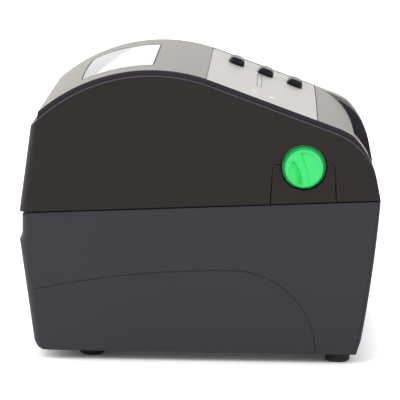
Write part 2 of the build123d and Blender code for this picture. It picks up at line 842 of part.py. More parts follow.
head_gap = 0.35
head_half = platen_half_length - 1
platen_top = platen_z + platen_radius
head_rear = head_pivot_x - 5
head_low = platen_top + head_gap
fin_count = 10
fin_pitch = 12.0
fin_slot = 5.0
fin_depth = 4.0
with BuildPart() as print_head:
    prism(
        polygon(
            (head_rear, head_top - 4), (platen_x - 7, head_low), (platen_x + 6, head_low),
            (platen_x + 7, head_top - 6), (platen_x + 5, head_top), (head_rear + 11, head_top),
            (head_rear + 9, head_top + 2), (head_rear + 2, head_top + 2),
        ),
        -head_half, head_half,
    )
    rod(head_pivot_x, head_pivot_z, head_pivot_radius + running_gap, -head_half, head_half, Mode.SUBTRACT)
    for i in range(fin_count - 1):
        y = (i + 1 - fin_count / 2) * fin_pitch
        block(
            (head_rear + 11, y - fin_slot / 2, head_top - fin_depth),
            (platen_x - 7, y + fin_slot / 2, head_top + fin_depth), Mode.SUBTRACT,
        )
pieces["print_head"] = print_head

with BuildPart() as pressure_bar:
    x = head_spring_x - pressure_bar_width / 2
    block((x, -ribbon_plate_y, bar_low), (x + pressure_bar_width, ribbon_plate_y, bar_low + frame_thickness))
    block((x, -ribbon_plate_y, bar_low), (x + frame_thickness, ribbon_plate_y, bar_low + pressure_bar_height))
pieces["pressure_bar"] = pressure_bar

spring_wire = 0.9
spring_radius = 3.5
spring_turns = 4
spring_end_gap = 0.1
spring_y = 35.0
spring_height = bar_low - head_top - spring_wire - 2 * spring_end_gap
with BuildPart() as head_springs:
    for y in (-spring_y, spring_y):
        place = (head_spring_x, y, head_top + spring_end_gap + spring_wire / 2)
        with BuildLine() as coil:
            Helix(spring_height / spring_turns, spring_height, spring_radius, center=place)
        with BuildSketch(Plane(origin=coil.line @ 0, z_dir=coil.line % 0)) as wire_end:
            Circle(spring_wire / 2)
        sweep(wire_end.sketch, path=coil.line)
pieces["head_springs"] = head_springs

# Take-up spindle with its core, gear and the green knob outside the casing
knob_side_y = half_width - tan(radians(lid_draft)) * (knob_z - seam_height)
knob_flange_y = -knob_side_y + knob_depth
knob_face_y = -knob_side_y - knob_rise
hub_end = 16.0  # end of the knob's hub and start of the spindle, inside the casing
spindle_start = 6.0
press = 0.02  # radial play of what is pressed onto a spindle
with BuildPart() as take_up_spindle:
    rod(knob_x, knob_z, spindle_radius, -knob_side_y + spindle_start, ribbon_plate_outer + 2)
pieces["take_up_spindle"] = take_up_spindle

core_half = roll_half_width + 3.0
with BuildPart() as take_up_core:
    rod(knob_x, knob_z, take_up_spool_radius, -core_half, core_half)
    rod(knob_x, knob_z, spindle_radius + press, -core_half, core_half, Mode.SUBTRACT)
pieces["take_up_core"] = take_up_core

take_up_phase = ribbon_motor_direction
pieces["take_up_gear"] = gear(
    knob_x, knob_z, take_up_teeth, ribbon_module, take_up_phase, -gear_y - gear_face, -gear_y,
    spindle_radius + press,
)


def grip_hollow(first, along, last, rim, depth, slope):
    """Cut one side of the knob's face down to a floor at this depth in the middle, sloping along X."""
    turn = radians(slope)
    floor = Plane(
        origin=(knob_x, knob_face_y + depth, knob_z),
        x_dir=(cos(turn), sin(turn), 0), z_dir=(sin(turn), -cos(turn), 0),
    )
    with BuildSketch(floor) as hollow:
        with BuildLine():
            ThreePointArc(first, along, last)
            ThreePointArc(last, rim, first)
        make_face()
    extrude(hollow.sketch, amount=2 * depth + knob_rise, mode=Mode.SUBTRACT)


with BuildPart() as ribbon_knob:
    rod(knob_x, knob_z, knob_radius, knob_flange_y, knob_flange_y + knob_flange)
    with Locations(Location((knob_x, (knob_flange_y + knob_face_y) / 2, knob_z), (90, 0, 0))):
        Cone(knob_flank_radius, knob_face_radius, knob_depth + knob_rise)
    chamfer(ribbon_knob.faces().sort_by(Axis.Y)[0].edges(), 0.5)
    # the blade of the grip stays between a deep hollow and a shallow one
    grip_hollow((-8.9, 5.6), (-4.2, -1.8), (-2.3, -12.2), (-11.3, -4.5), 4.9, blade_slope)
    grip_hollow((-2.8, 11.1), (1.6, -0.4), (4.1, -11.8), (12.2, 1.8), 1.7, -shelf_slope)
    rod(knob_x, knob_z, 2 * spindle_radius, knob_flange_y + knob_flange, -knob_side_y + hub_end)
    rod(
        knob_x, knob_z, spindle_radius + press, -knob_side_y + spindle_start, -knob_side_y + hub_end,
        Mode.SUBTRACT,
    )
pieces["ribbon_knob"] = ribbon_knob

# Ribbon supply
with BuildPart() as supply_spindle:
    rod(supply_x, supply_z, spindle_radius, -ribbon_plate_outer - 1, ribbon_plate_outer + 1)
pieces["supply_spindle"] = supply_spindle

with BuildPart() as ribbon_roll:
    spool_half = roll_half_width + 5.0
    rod(supply_x, supply_z, spool_radius, -spool_half, spool_half)
    rod(supply_x, supply_z, supply_radius, -roll_half_width, roll_half_width)
    rod(supply_x, supply_z, spindle_radius + press, -spool_half, spool_half, Mode.SUBTRACT)
pieces["ribbon_roll"] = ribbon_roll

# Ribbon motor inside the near plate, its pinion outside
motor_shaft_radius = 1.5
ribbon_motor_radius = 9.0
ribbon_motor_length = 26.0
ribbon_shaft_reach = 12.0  # depth of the shaft inside the motor
with BuildPart() as ribbon_motor:
    bore = motor_shaft_radius + running_gap
    rod(*ribbon_motor_at, ribbon_motor_radius, -ribbon_plate_y, -ribbon_plate_y + ribbon_motor_length)
    rod(*ribbon_motor_at, bore, -ribbon_plate_y, -ribbon_plate_y + ribbon_shaft_reach, Mode.SUBTRACT)
pieces["ribbon_motor"] = ribbon_motor

ribbon_pinion_phase = ribbon_motor_direction + 180 + 180 / ribbon_pinion_teeth
ribbon_pinion = gear(
    *ribbon_motor_at, ribbon_pinion_teeth, ribbon_module, ribbon_pinion_phase, -gear_y - gear_face, -gear_y,
    motor_shaft_radius,
)
with ribbon_pinion:
    rod(
        *ribbon_motor_at, motor_shaft_radius, -gear_y - gear_face - 1,
        -ribbon_plate_y + ribbon_shaft_reach - 1,
    )
pieces["ribbon_pinion"] = ribbon_pinion

# Hinges: knuckles on a shared pin, the outer two on the base and the middle one on the lid
outer_knuckles = (
    (-hinge_length / 2, -hinge_length / 2 + hinge_knuckle),
    (hinge_length / 2 - hinge_knuckle, hinge_length / 2),
)
middle_knuckle = (-hinge_length / 2 + hinge_knuckle + swing_gap, hinge_length / 2 - hinge_knuckle - swing_gap)
leaf_half = hinge_length / 2
leaf_height = 22.0
leaf_gap = 0.05
rear_inner_x = base_rear_top_x + wall + leaf_gap
base_leaf_low = hinge_z - leaf_height + 3.2
with BuildPart() as base_hinge_leaves:
    for side in (-1, 1):
        y = side * hinge_y
        block(
            (rear_inner_x, y - leaf_half, base_leaf_low),
            (rear_inner_x + leaf_thickness, y + leaf_half, hinge_z),
        )
        for low, high in outer_knuckles:
            rod(*hinge, hinge_barrel_radius, y + low, y + high)
        rod(
            *hinge, hinge_barrel_radius + swing_gap,
            y + middle_knuckle[0] - swing_gap, y + middle_knuckle[1] + swing_gap, Mode.SUBTRACT,
        )
        rod(*hinge, hinge_pin_radius, y - leaf_half, y + leaf_half, Mode.SUBTRACT)
pieces["base_hinge_leaves"] = base_hinge_leaves

leaf_start = moved(lid_rear, rear_out, -wall - leaf_gap)
leaf_inner = moved(leaf_start, rear_out, -leaf_thickness)
leaf_corners = (
    leaf_start, moved(leaf_start, rear_dir, leaf_height), moved(leaf_inner, rear_dir, leaf_height), leaf_inner
)
with BuildPart() as lid_hinge_leaves:
    for side in (-1, 1):
        y = side * hinge_y
        prism(polygon(*leaf_corners), y - leaf_half, y + leaf_half)
        for low, high in outer_knuckles:
            rod(*hinge, hinge_barrel_radius + swing_gap, y + low - 1, y + high + 1, Mode.SUBTRACT)
        rod(*hinge, hinge_barrel_radius, y + middle_knuckle[0], y + middle_knuckle[1])
        rod(*hinge, hinge_pin_radius + running_gap, y - leaf_half, y + leaf_half, Mode.SUBTRACT)
pieces["lid_hinge_leaves"] = lid_hinge_leaves

with BuildPart() as hinge_pins:
    for side in (-1, 1):
        y = side * hinge_y
        rod(*hinge, hinge_pin_radius, y - leaf_half, y + leaf_half)
pieces["hinge_pins"] = hinge_pins

# Base shell
groove_long_center = (groove_x, groove_z + groove_radius - groove_long_radius)


def groove_line(shift):
    """Groove outline: a long flat arc from the rear that turns down in a round one."""
    long = groove_long_radius + shift
    short = groove_radius + shift
    start = on_circle(groove_long_center, long, 90 + degrees(half_depth / groove_long_radius) + 3)
    middle = on_circle(groove_long_center, long, 90 + degrees(half_depth / groove_long_radius) / 2)
    turn = (groove_x, groove_z + short)
    return start, middle, turn, short


def groove_side():
    """The groove as a narrow band."""
    out_start, out_middle, out_turn, out_radius = groove_line(groove_width / 2)
    in_start, in_middle, in_turn, in_radius = groove_line(-groove_width / 2)
    center = (groove_x, groove_z)
    with BuildSketch() as outline:
        with BuildLine():
            ThreePointArc(out_start, out_middle, out_turn)
            ThreePointArc(out_turn, on_circle(center, out_radius, 45), on_circle(center, out_radius, 0))
            Line(on_circle(center, out_radius, 0), on_circle(center, in_radius, 0))
            ThreePointArc(on_circle(center, in_radius, 0), on_circle(center, in_radius, 45), in_turn)
            ThreePointArc(in_turn, in_middle, in_start)
            Line(in_start, out_start)
        make_face()
    return outline.sketch


port_low = 12.5
port_high = 36.0
port_half = 56.0
rear_foot_place = (-half_depth + 51.7, half_width - 27.0)
front_foot_place = (half_depth - 28.7, half_width - 17.0)
foot_places = [(x, side * y) for x, y in (rear_foot_place, front_foot_place) for side in (-1, 1)]
foot_radius = 9.0
foot_seat = 1.0  # depth of each foot in the floor
foot_chamfer = 1.2
shelf_thickness = 2.0
screw_y = frame_y + 6.0
screw_places = [(x, side * screw_y) for x in (platen_x - 49, platen_x - 15) for side in (-1, 1)]
screw_radius = 1.4



def seam_band(low, high):
    """Side outline of a band along the seam between two heights from its middle."""
    rear = -half_depth + tongue_inset
    front = half_depth - tongue_front_inset
    return polygon(
        (rear, seam_z(rear, low)), (front, seam_z(front, low)), (front, seam_z(front, high)),
        (rear, seam_z(rear, high)),
    )


# Strip that cuts the groove into both side walls
with BuildPart() as groove:
    prism(groove_side(), -body_width, body_width)
    with BuildSketch(Plane.YZ):
        add(base_section(groove_depth))
    extrude(amount=body_depth, both=True, mode=Mode.SUBTRACT)

with BuildPart() as base_shell:
    add(base_form(0, 0, 0))
    prism(base_side(bezel_thickness + bezel_gap, 20), -body_width, body_width, Mode.INTERSECT)
    add(base_form(wall, bezel_thickness + bezel_gap, 30), mode=Mode.SUBTRACT)
    rod(*hinge, relief_radius, -body_width, body_width, Mode.SUBTRACT)
    block(
        (platen_x, -recess_half_width, exit_floor - shelf_thickness - fit_gap),
        (body_depth, recess_half_width, body_depth), Mode.SUBTRACT,
    )
    add(groove.part, mode=Mode.SUBTRACT)
    block((-body_depth, -port_half, port_low), (base_rear_x + 20, port_half, port_high), Mode.SUBTRACT)
    with BuildSketch(Plane.XY.offset(foot_height)):
        with Locations(*foot_places):
            Circle(foot_radius + 0.2)
    extrude(amount=foot_seat, mode=Mode.SUBTRACT)
    with BuildSketch(Plane.XY.offset(foot_height)):
        with Locations(*screw_places):
            Circle(screw_radius)
    extrude(amount=wall, mode=Mode.SUBTRACT)
    # tongue behind each side of the seam, on a foot that joins the wall
    tongue_outer = half_width - wall - tongue_gap
    tongue_inner = tongue_outer - tongue_thickness
    for side in (-1, 1):
        low, high = sorted((side * tongue_inner, side * tongue_outer))
        prism(seam_band(-tongue_foot, tongue_rise), low, high)
        low, high = sorted((side * tongue_inner, side * (half_width - wall / 2)))
        prism(seam_band(-tongue_foot, -seam_gap), low, high)
pieces["base_shell"] = base_shell

with BuildPart() as rubber_feet:
    with BuildSketch():
        with Locations(*foot_places):
            Circle(foot_radius)
    extrude(amount=foot_height + foot_seat)
    chamfer(rubber_feet.faces().group_by(Axis.Z)[0].edges(), foot_chamfer)
pieces["rubber_feet"] = rubber_feet

# Front bezel with the label shelf between the cheeks
tear_x = platen_x + platen_radius + 3.5
tear_foot = 3.5
tear_thickness = 1.2
tear_pitch = 2.5
tear_count = 46
tear_low_rise = 0.6
tear_high_rise = 1.8
shelf_front_x = half_depth - bezel_thickness - 0.2
exit_half_width = 66.0
exit_wall_x = tear_x + tear_foot + 4.0
exit_wall_top = scoop_foot - 1.5
with BuildPart() as front_bezel:
    add(base_form(0, 0, 0))
    prism(base_side(bezel_thickness, 20), -body_width, body_width, Mode.SUBTRACT)
    block(
        (platen_x, -recess_half_width, exit_floor), (body_depth, recess_half_width, body_depth), Mode.SUBTRACT
    )
    shelf_half = recess_half_width - fit_gap
    shelf_low = exit_floor - shelf_thickness
    block((tear_x + tear_foot, -shelf_half, shelf_low), (shelf_front_x, shelf_half, exit_floor))
    # upright walls beside the exit hide the gears behind them
    for side in (-1, 1):
        low, high = sorted((side * exit_half_width, side * shelf_half))
        block((exit_wall_x, low, shelf_low), (exit_wall_x + shelf_thickness, high, exit_wall_top))
pieces["front_bezel"] = front_bezel

with BuildPart() as tear_bar:
    with BuildSketch(Plane.YZ.offset(tear_x)):
        tear_half = tear_count * tear_pitch / 2
        points = [(-tear_half, shelf_low)]
        for i in range(tear_count):
            y = -tear_half + i * tear_pitch
            points += [(y, exit_floor + tear_low_rise), (y + tear_pitch / 2, exit_floor + tear_high_rise)]
        points += [(tear_half, exit_floor + tear_low_rise), (tear_half, shelf_low)]
        with BuildLine():
            Polyline(*points, close=True)
        make_face()
    extrude(amount=tear_thickness)
    block((tear_x, -tear_half, shelf_low), (tear_x + tear_foot, tear_half, shelf_low + tear_thickness))
pieces["tear_bar"] = tear_bar

# Steel side frames that carry the platen
frame_rear = platen_x - 59
frame_front = platen_x + 7
frame_top = platen_z + 6.5
frame_outline = [
    (frame_rear, floor_z), (frame_front, floor_z), (frame_front + 4, platen_z - 44),
    (frame_front + 6, platen_z - 4), (frame_front, frame_top), (platen_x - 7, frame_top),
    (platen_x - 15, platen_z - 6), (frame_rear, platen_z - 12),
]
platen = (platen_x, platen_z)
idler = on_circle(platen, gear_module * (platen_teeth + idler_teeth) / 2 + 0.05, idler_direction)
pinion = on_circle(idler, gear_module * (idler_teeth + pinion_teeth) / 2 + 0.05, pinion_direction)


idler_stud_radius = 2.0
frame_flange = 12.0
motor_window_radius = 8.0


def side_frame(side):
    """Frame plate with a flange on the floor, on the near side (-1) or the far side (1)."""
    y_low = frame_y if side > 0 else -frame_y - frame_thickness
    y_high = y_low + frame_thickness
    flange = sorted((side * frame_y, side * (frame_y + frame_flange)))
    with BuildPart() as frame:
        prism(polygon(*frame_outline), y_low, y_high)
        block((frame_rear + 4, flange[0], floor_z), (frame_front, flange[1], floor_z + frame_thickness))
        rod(*platen, bush_radius, y_low, y_high, Mode.SUBTRACT)
        with BuildSketch(Plane.XY.offset(floor_z)):
            with Locations(*screw_places):
                Circle(screw_radius)
        extrude(amount=frame_thickness, mode=Mode.SUBTRACT)
        if side > 0:
            rod(*idler, idler_stud_radius, y_low, y_high, Mode.SUBTRACT)
            rod(*pinion, motor_window_radius, y_low, y_high, Mode.SUBTRACT)
    return frame


pieces["near_side_frame"] = side_frame(-1)
pieces["far_side_frame"] = side_frame(1)

with BuildPart() as frame_screws:
    with BuildSketch(Plane.XY.offset(foot_height + 0.4)):
        with Locations(*screw_places):
            Circle(screw_radius)
    extrude(amount=wall + frame_thickness)
    with BuildSketch(Plane.XY.offset(floor_z + frame_thickness)):
        with Locations(*screw_places):
            Circle(3)
    extrude(amount=2)
pieces["frame_screws"] = frame_screws

# Platen with its bushes and drive train
bush_length = 3.0
with BuildPart() as platen_bushes:
    for side in (-1, 1):
        middle = side * (frame_y + frame_thickness / 2)
        rod(*platen, bush_radius, middle - bush_length / 2, middle + bush_length / 2)
        rod(*platen, shaft_radius + running_gap, middle - bush_length, middle + bush_length, Mode.SUBTRACT)
pieces["platen_bushes"] = platen_bushes

with BuildPart() as platen_roller:
    rod(*platen, platen_radius, -platen_half_length, platen_half_length)
    rod(*platen, shaft_radius + 0.02, -platen_half_length, platen_half_length, Mode.SUBTRACT)
pieces["platen_roller"] = platen_roller

with BuildPart() as platen_shaft:
    rod(*platen, shaft_radius, -frame_y - 4, gear_y + gear_face + 1)
pieces["platen_shaft"] = platen_shaft

pieces["platen_gear"] = gear(
    *platen, platen_teeth, gear_module, idler_direction, gear_y, gear_y + gear_face, shaft_radius + 0.02
)
idler_phase = idler_direction + 180 + 180 / idler_teeth
pieces["idler_gear"] = gear(
    *idler, idler_teeth, gear_module, idler_phase, gear_y, gear_y + gear_face, idler_stud_radius + running_gap
)

with BuildPart() as idler_stud:
    rod(*idler, idler_stud_radius, frame_y, gear_y + gear_face + 0.5)
    rod(*idler, idler_stud_radius + 1, gear_y + gear_face + 0.5, gear_y + gear_face + 1.5)
pieces["idler_stud"] = idler_stud

drive_shaft_radius = 2.5
drive_shaft_reach = 18.0  # depth of the shaft inside the motor
idler_step = 360 / idler_teeth
toward_idler = pinion_direction + 180
idler_offset = ((pinion_direction - idler_phase) / idler_step) % 1
pinion_phase = toward_idler + 180 / pinion_teeth + idler_offset * 360 / pinion_teeth
motor_pinion = gear(
    *pinion, pinion_teeth, gear_module, pinion_phase, gear_y, gear_y + gear_face, drive_shaft_radius
)
with motor_pinion:
    rod(*pinion, drive_shaft_radius, frame_y - drive_shaft_reach + 2, gear_y + gear_face + 1)
pieces["motor_pinion"] = motor_pinion

motor_size = 35.2
motor_length = 28.0
with BuildPart() as drive_motor:
    with BuildSketch(side_plane(frame_y)):
        with Locations(pinion):
            RectangleRounded(motor_size, motor_size, 4)
    extrude(amount=motor_length)
    rod(*pinion, drive_shaft_radius + running_gap, frame_y - drive_shaft_reach, frame_y, Mode.SUBTRACT)
pieces["drive_motor"] = drive_motor

# Media tray: a trough under the roll, a floor towards the platen and two side walls
roll = (roll_x, roll_z)
trough = roll_radius + tray_clearance
front_angle = -15.0
floor_start = (roll_x + 64, roll_z + 6)
floor_end = (platen_x - 10, platen_z - 5)
tray_rear_top = roll_z + 18.0
tray_rear_x = roll_x - trough - tray_wall
tray_side_top = roll_z + 14.0
wall_front_x = frame_rear - 2
guide_foot = 3.0
guide_disc_radius = 30.0
guide_stem_half = 12.0
pinion_post_radius = 2.0
rail_radius = 1.5
carriage_half = 7.0
rack_high = roll_z - trough - tray_wall - 1.5
rack_low = rack_high - 4.0
rack_offset = rack_module * rack_teeth / 2
sensor_x = (floor_start[0] + pinion[0] - motor_size / 2) / 2
sensor_half_travel = 38.0
sensor_slot_half = sensor_half_travel + carriage_half + 2.0


def tray_side():
    """Side outline of the trough and the floor in front of it."""
    outer = trough + tray_wall
    floor_under = (floor_start[0] + 1, floor_start[1] - tray_wall)
    with BuildSketch() as outline:
        with BuildLine():
            Line((roll_x - trough, tray_rear_top), (roll_x - trough, roll_z))
            ThreePointArc(
                (roll_x - trough, roll_z), (roll_x, roll_z - trough), on_circle(roll, trough, front_angle)
            )
            Line(on_circle(roll, trough, front_angle), floor_start)
            Line(floor_start, floor_end)
            Line(floor_end, (floor_end[0], floor_end[1] - tray_wall))
            Line((floor_end[0], floor_end[1] - tray_wall), floor_under)
            Line(floor_under, on_circle(roll, outer, front_angle))
            ThreePointArc(
                on_circle(roll, outer, front_angle), (roll_x, roll_z - outer), (tray_rear_x, roll_z)
            )
            Line((tray_rear_x, roll_z), (tray_rear_x, tray_rear_top))
            Line((tray_rear_x, tray_rear_top), (roll_x - trough, tray_rear_top))
        make_face()
    return outline.sketch


with BuildPart() as media_tray:
    prism(tray_side(), -frame_y, frame_y)
    for side in (-1, 1):
        low, high = sorted((side * tray_half_width, side * frame_y))
        block((tray_rear_x, low, floor_z), (wall_front_x, high, tray_side_top))
    for side in (-1, 1):
        x = roll_x + side * rack_offset
        low, high = sorted((side * (roll_half_width - 0.5), side * (tray_half_width - 0.2)))
        block((x - 5, low, rack_low - 1), (x + 5, high, rack_high + 15), Mode.SUBTRACT)
    block(
        (sensor_x - 6, -sensor_slot_half, floor_start[1] - 6),
        (sensor_x + 6, sensor_slot_half, tray_side_top), Mode.SUBTRACT,
    )
    with BuildSketch(Plane.XY.offset(rack_low - 1)):
        with Locations((roll_x, 0)):
            Circle(pinion_post_radius)
    extrude(amount=roll_z - trough - rack_low + 1 - tray_wall / 2)
    with BuildSketch(Plane.XY.offset(rack_low - 1.6)):
        with Locations((roll_x, 0)):
            Circle(pinion_post_radius + 1)
    extrude(amount=1)
pieces["media_tray"] = media_tray

# Roll guides: a disc with a hub in the roll's core, a foot through the tray and a rack under it
rack_overrun = 4  # teeth past the middle


def roll_guide(side):
    """Guide on the near side (-1) or the far side (1), its rack running past the middle."""
    inner = roll_half_width + guide_gap
    y_low, y_high = sorted((side * inner, side * (inner + guide_thickness)))
    hub_low, hub_high = sorted((side * (inner - hub_depth), side * inner))
    x = roll_x + side * rack_offset
    back = x + side * 5
    with BuildPart() as guide:
        rod(*roll, guide_disc_radius, y_low, y_high)
        block(
            (roll_x - guide_stem_half, y_low, rack_high + 7), (roll_x + guide_stem_half, y_high, roll_z)
        )
        rod(*roll, hub_radius, hub_low, hub_high)
        block((x - guide_foot, y_low, rack_low), (x + guide_foot, y_high, rack_high + 10))
        with BuildSketch(Plane.XY.offset(rack_low)):
            tooth = pi * rack_module
            lean = tan(radians(pressure_angle))
            half = tooth / 4 - backlash / 4
            root = x + side * 1.2 * rack_module
            tip = x - side * 0.85 * rack_module
            points = [(back, side * (inner + guide_thickness)), (root, side * (inner + guide_thickness))]
            teeth = list(range(round((inner - 4) / tooth), -rack_overrun - 1, -1))
            for i in teeth:
                middle = side * (i - 0.5) * tooth
                for dx, dy in (
                    (root, half + 1.2 * rack_module * lean), (tip, half - 0.85 * rack_module * lean),
                    (tip, -half + 0.85 * rack_module * lean), (root, -half - 1.2 * rack_module * lean),
                ):
                    points.append((dx, middle + side * dy))
            end = side * (teeth[-1] - 1.2) * tooth
            points += [(root, end), (back, end)]
            with BuildLine():
                Polyline(*points, close=True)
            make_face()
        extrude(amount=rack_high - rack_low)
    return guide


pieces["near_roll_guide"] = roll_guide(-1)
pieces["far_roll_guide"] = roll_guide(1)

with BuildPart() as guide_pinion:
    with BuildSketch(Plane.XY.offset(rack_low)):
        add(gear_side((roll_x, 0), rack_teeth, rack_module, 0))
        with Locations((roll_x, 0)):
            Circle(pinion_post_radius + running_gap, mode=Mode.SUBTRACT)
    extrude(amount=rack_high - rack_low)
pieces["guide_pinion"] = guide_pinion

with BuildPart() as label_roll:
    rod(*roll, roll_radius, -roll_half_width, roll_half_width)
    rod(*roll, core_bore, -roll_half_width, roll_half_width, Mode.SUBTRACT)
pieces["label_roll"] = label_roll

# Label sensor on its rail under the floor of the tray
sensor_z = floor_start[1] - 6.0
with BuildPart() as sensor_rail:
    rod(sensor_x, sensor_z, rail_radius, -tray_half_width, tray_half_width)
pieces["sensor_rail"] = sensor_rail

with BuildPart() as sensor_carriage:
    block(
        (sensor_x - 5, -carriage_half, sensor_z - 3.5), (sensor_x + 5, carriage_half, floor_start[1] + 1.8)
    )
    rod(sensor_x, sensor_z, rail_radius + running_gap, -carriage_half, carriage_half, Mode.SUBTRACT)
pieces["sensor_carriage"] = sensor_carriage

# Main board with its parts, port panel and sockets
board_low = floor_z + 4.2
board_top = board_low + 1.6
panel_x = base_rear_foot_x + 2.6
with BuildPart() as main_board:
    board_front = panel_x + 103.3
    block((panel_x + 1.2, -59, board_low), (board_front, 59, board_top))
    for x in (panel_x + 9.3, board_front - 6):
        for y in (-54, 54):
            block((x - 3, y - 3, floor_z), (x + 3, y + 3, board_low))
pieces["main_board"] = main_board

with BuildPart() as board_parts:
    for x, y, dx, dy, dz in (
        (55, -30, 14, 14, 1.8), (55, 2, 20, 20, 1.8), (31, 30, 10, 12, 6), (85, 35, 16, 8, 7),
        (85, -10, 8, 22, 5), (31, -36, 12, 18, 7.5),
    ):
        x += panel_x
        block((x - dx / 2, y - dy / 2, board_top), (x + dx / 2, y + dy / 2, board_top + dz))
    for x, y in ((27, -8), (27, 6), (81, -44)):
        with BuildSketch(Plane.XY.offset(board_top)):
            with Locations((panel_x + x, y)):
                Circle(4)
        extrude(amount=7.5)
pieces["board_parts"] = board_parts

sockets = {
    "power_rocker_housing": (-44, 20, 14), "power_inlet": (-22, 12, 11.5), "usb_port": (-5, 12, 11),
    "network_port": (14, 16, 13.5), "serial_port": (40, 31, 12.5),
}
with BuildPart() as port_panel:
    block((panel_x, -58, 13.4), (panel_x + 1.2, 58, 38))
    for y, width, height in sockets.values():
        block(
            (panel_x - 5, y - width / 2 - 0.1, board_top - 0.1),
            (panel_x + 5, y + width / 2 + 0.1, board_top + height + 0.1), Mode.SUBTRACT,
        )
pieces["port_panel"] = port_panel


def socket(node, depth_x, proud):
    """Plain body of a socket on the rear edge of the board."""
    y, width, height = sockets[node]
    with BuildPart() as body:
        block(
            (panel_x - proud, y - width / 2, board_top),
            (panel_x - proud + depth_x, y + width / 2, board_top + height),
        )
    return body


mouth_x = panel_x - 1.2
usb_port = socket("usb_port", 16, 1.2)
with usb_port:
    y = sockets["usb_port"][0]
    block((mouth_x, y - 4.2, board_top + 1.6), (mouth_x + 9, y + 4.2, board_top + 9.4), Mode.SUBTRACT)
    block((mouth_x + 0.8, y - 2.8, board_top + 4), (mouth_x + 9, y + 2.8, board_top + 7))
pieces["usb_port"] = usb_port

network_port = socket("network_port", 18, 1.2)
with network_port:
    y = sockets["network_port"][0]
    block((mouth_x, y - 5.9, board_top + 2), (mouth_x + 11, y + 5.9, board_top + 10), Mode.SUBTRACT)
    block((mouth_x, y - 3, board_top + 10), (mouth_x + 11, y + 3, board_top + 12), Mode.SUBTRACT)
pieces["network_port"] = network_port

power_inlet = socket("power_inlet", 14, 1.2)
with power_inlet:
    y = sockets["power_inlet"][0]
    with BuildSketch(Plane.YZ.offset(mouth_x)) as hole:
        with Locations((y, board_top + 6)):
            Circle(3.2)
            Circle(1, mode=Mode.SUBTRACT)
    extrude(hole.sketch, amount=9, mode=Mode.SUBTRACT)
pieces["power_inlet"] = power_inlet

serial_port = socket("serial_port", 12, 0.6)
with serial_port:
    y = sockets["serial_port"][0]
    middle_z = board_top + 6.25
    with BuildSketch(Plane.YZ.offset(panel_x - 6)) as shell:
        with BuildLine():
            Polyline(
                (y - 8.4, middle_z + 4), (y + 8.4, middle_z + 4), (y + 7.2, middle_z - 4),
                (y - 7.2, middle_z - 4), close=True,
            )
        make_face()
        offset(amount=-0.6, kind=Kind.INTERSECTION, mode=Mode.SUBTRACT)
    extrude(shell.sketch, amount=6)
    for row, count in ((1.4, 5), (-1.4, 4)):
        for i in range(count):
            with BuildSketch(Plane.YZ.offset(panel_x - 5)) as pin:
                with Locations((y + (i - (count - 1) / 2) * 2.77, middle_z + row)):
                    Circle(0.5)
            extrude(pin.sketch, amount=5)
    for side in (-1, 1):
        with BuildSketch(Plane.YZ.offset(panel_x - 5)) as post:
            with Locations((y + side * 12.5, middle_z)):
                RegularPolygon(2.6, 6)
        extrude(post.sketch, amount=5)
pieces["serial_port"] = serial_port

rocker_y, rocker_width, rocker_height = sockets["power_rocker_housing"]
rocker_pivot_x = panel_x + 4
rocker_half = rocker_width / 2 - 2.8
with BuildPart() as power_rocker_housing:
    block(
        (panel_x - 1.2, rocker_y - rocker_width / 2, board_top),
        (panel_x + 14, rocker_y + rocker_width / 2, board_top + rocker_height),
    )
    block(
        (panel_x - 1.2, rocker_y - rocker_width / 2 + 1.5, board_top + 1.5),
        (panel_x + 11, rocker_y + rocker_width / 2 - 1.5, board_top + rocker_height - 1.5), Mode.SUBTRACT,
    )
    with BuildSketch(Plane.XY.offset(board_top + 1)) as pin:
        with Locations((rocker_pivot_x, rocker_y)):
            Circle(1)
    extrude(pin.sketch, amount=rocker_height - 2)
pieces["power_rocker_housing"] = power_rocker_housing

with BuildPart() as power_rocker:
    with BuildSketch(Plane.XY.offset(board_top + 1.9)):
        with Locations(Location((rocker_pivot_x, rocker_y), -9)):
            Polygon(
                (3, -2.5), (3, 2.5), (-2.5, rocker_half), (-5.4, rocker_half), (-4.2, 0),
                (-5.4, -rocker_half), (-2.5, -rocker_half), align=None,
            )
        with Locations((rocker_pivot_x, rocker_y)):
            Circle(1 + running_gap, mode=Mode.SUBTRACT)
    extrude(amount=rocker_height - 3.8)
pieces["power_rocker"] = power_rocker

for node, piece in pieces.items():
    piece.part.label = node
    export_step(piece.part, f"parts/{node}.step")
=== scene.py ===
from math import pi

import bmesh
import bpy
from mathutils import Matrix, Vector


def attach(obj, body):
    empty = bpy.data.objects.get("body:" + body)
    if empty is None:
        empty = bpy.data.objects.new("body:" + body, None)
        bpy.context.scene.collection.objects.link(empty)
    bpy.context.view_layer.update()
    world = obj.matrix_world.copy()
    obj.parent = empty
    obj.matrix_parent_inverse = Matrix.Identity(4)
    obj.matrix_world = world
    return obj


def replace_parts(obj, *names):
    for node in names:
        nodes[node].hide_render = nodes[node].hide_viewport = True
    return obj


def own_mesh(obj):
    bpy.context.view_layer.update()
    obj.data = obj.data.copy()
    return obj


# Desktop label printer: materials, small trim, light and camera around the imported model.

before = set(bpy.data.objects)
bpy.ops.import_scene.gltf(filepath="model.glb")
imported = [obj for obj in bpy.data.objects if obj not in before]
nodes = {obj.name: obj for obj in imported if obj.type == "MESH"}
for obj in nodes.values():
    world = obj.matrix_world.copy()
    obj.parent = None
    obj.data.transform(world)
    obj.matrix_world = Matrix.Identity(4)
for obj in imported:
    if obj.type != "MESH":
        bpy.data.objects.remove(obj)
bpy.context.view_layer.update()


# Half the width between the outer faces of the two rims, on which the crowned cover ends
RIM_HALF_WIDTH = 0.1066


def add_object(name, data):
    obj = bpy.data.objects.new(name, data)
    bpy.context.scene.collection.objects.link(obj)
    return obj


# Camera at the photograph's viewing angle. Lengths in the picture are in its pixels.

